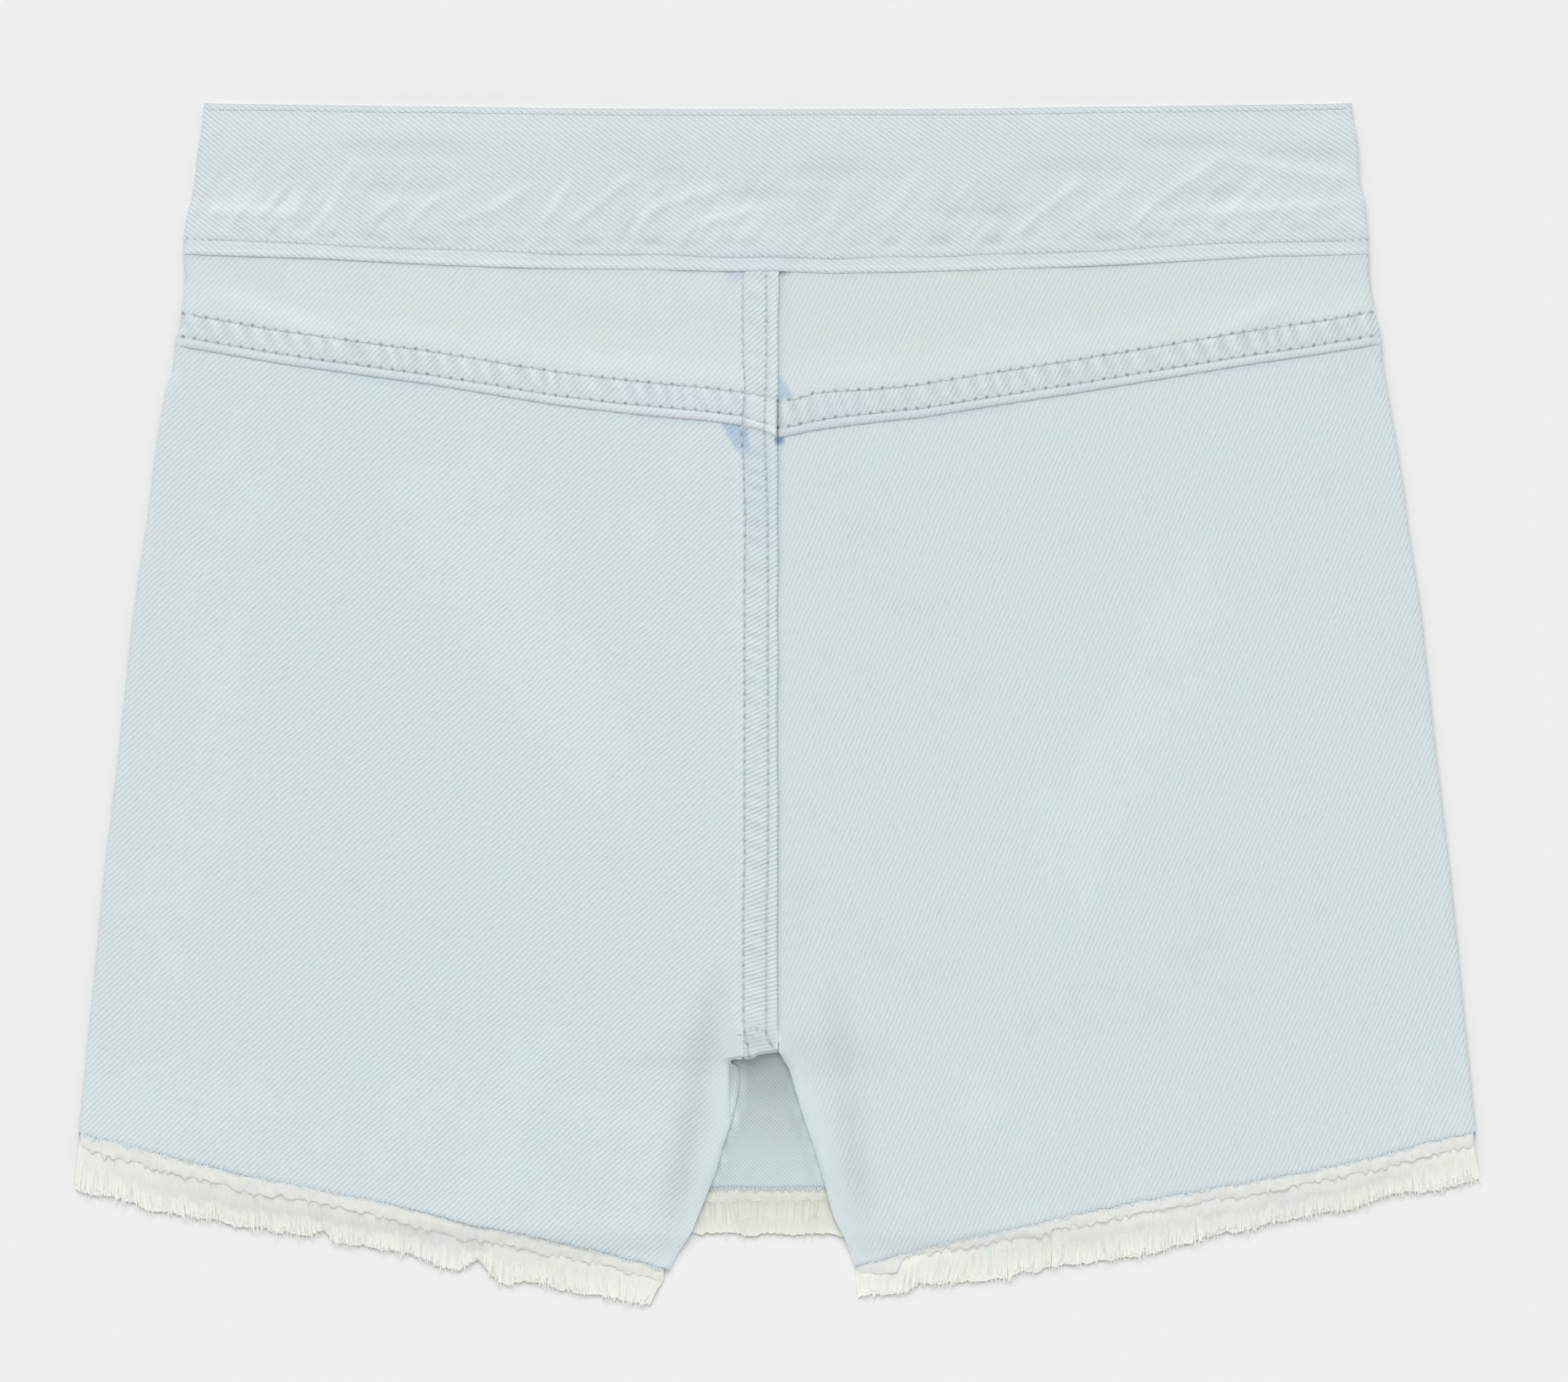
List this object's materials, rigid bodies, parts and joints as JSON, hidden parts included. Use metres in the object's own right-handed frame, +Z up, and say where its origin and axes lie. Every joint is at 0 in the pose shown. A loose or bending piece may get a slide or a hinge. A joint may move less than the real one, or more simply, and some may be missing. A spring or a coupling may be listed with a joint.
{
  "type": "denim skort",
  "caption": "Pale denim skort laid flat on its front: wide plain waistband, V-shaped back yoke, felled seams, short legs with frayed hems and a skirt panel across the front.",
  "frame": {"origin": "on the surface that the garment lies on, under the middle of its box", "axes": "+X across the garment, +Y from the hems to the waist, +Z up, from its front to its back"},
  "size_m": [0.3845, 0.33, 0.0078],
  "materials": {
    "denim": "pale bleached twill denim, matt",
    "denim_inside": "wrong side of the denim, matt",
    "frayed_yarn": "undyed cotton yarn, matt",
    "thread": "grey-blue sewing thread, matt"
  },
  "bodies": {
    "root": {"waistband_back": "denim", "waistband_front": "denim", "yoke_left": "denim", "yoke_right": "denim", "back_leg_left": "denim", "back_leg_right": "denim", "centre_back_seam": "denim", "front_leg_left": "denim", "front_leg_right": "denim", "front_skirt_panel": "denim_inside", "fringe_back_left": "frayed_yarn", "fringe_back_right": "frayed_yarn", "fringe_front_left": "frayed_yarn", "fringe_front_right": "frayed_yarn", "fringe_skirt_panel": "frayed_yarn"}
  },
  "joints": []
}
